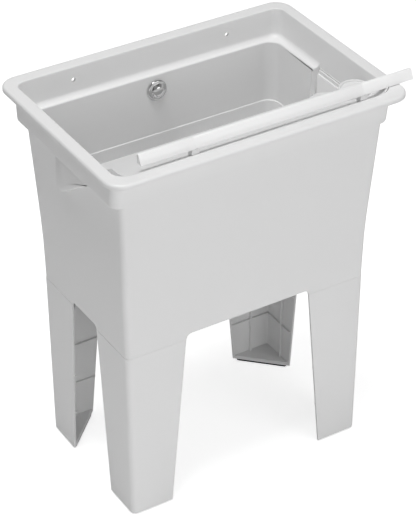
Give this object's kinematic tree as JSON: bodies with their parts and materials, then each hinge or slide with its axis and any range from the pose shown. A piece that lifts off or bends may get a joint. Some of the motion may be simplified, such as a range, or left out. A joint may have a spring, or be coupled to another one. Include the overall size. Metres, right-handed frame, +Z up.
{
  "type": "laundry sink",
  "caption": "Free-standing moulded utility laundry sink with a sloping scrub bed, deep basin, soap dish, overflow, plug waste, corner legs and a loose front rail.",
  "frame": {"origin": "centre of the bounding box on the floor; the tub's own middle plane is 14.5 mm towards -X because the loose rail overhangs the rim at +X", "axes": "+Z up, +X along the width to the right of a person facing the front apron, -Y out of the front apron"},
  "size_m": [0.679, 0.454, 0.848],
  "materials": {
    "tub_plastic": "satin moulded polypropylene, pale grey-white",
    "leg_plastic": "satin moulded polypropylene, pale grey-white",
    "rubber": "matt black rubber",
    "screw_steel": "zinc-plated steel",
    "chrome": "bright chrome plate",
    "fitting_plastic": "plain moulded polypropylene fitting",
    "hose_plastic": "flexible white plastic hose",
    "rail_plastic": "semi-gloss white plastic"
  },
  "bodies": {
    "sink": {"tub_body": "tub_plastic", "leg_front_left": "leg_plastic", "leg_rear_left": "leg_plastic", "leg_front_right": "leg_plastic", "leg_rear_right": "leg_plastic", "glide_front_left": "rubber", "glide_rear_left": "rubber", "glide_front_right": "rubber", "glide_rear_right": "rubber", "leg_screw_front_left": "screw_steel", "leg_screw_rear_left": "screw_steel", "leg_screw_front_right": "screw_steel", "leg_screw_rear_right": "screw_steel", "waste_flange": "chrome", "waste_gasket": "rubber", "waste_washer": "rubber", "waste_nut": "fitting_plastic", "waste_tee": "fitting_plastic", "overflow_cap": "chrome", "overflow_gasket": "rubber", "overflow_body": "fitting_plastic", "overflow_nut": "fitting_plastic", "overflow_hose": "hose_plastic"},
    "plug": {"waste_plug": "rubber"},
    "rail_feet": {"rail_foot_left": "rail_plastic", "rail_foot_right": "rail_plastic"},
    "rail": {"front_rail": "rail_plastic"}
  },
  "joints": [
    {"name": "plug_lift", "type": "slide", "parent": "sink", "child": "plug", "axis": [0, 0, 1], "range_m": [0, 0.3]},
    {"name": "rail_slide", "type": "slide", "parent": "sink", "child": "rail_feet", "axis": [1, 0, 0], "range_m": [-0.12, 0.012]},
    {"name": "rail_lift", "type": "slide", "parent": "rail_feet", "child": "rail", "axis": [0, 0, 1], "range_m": [0, 0.06]}
  ]
}
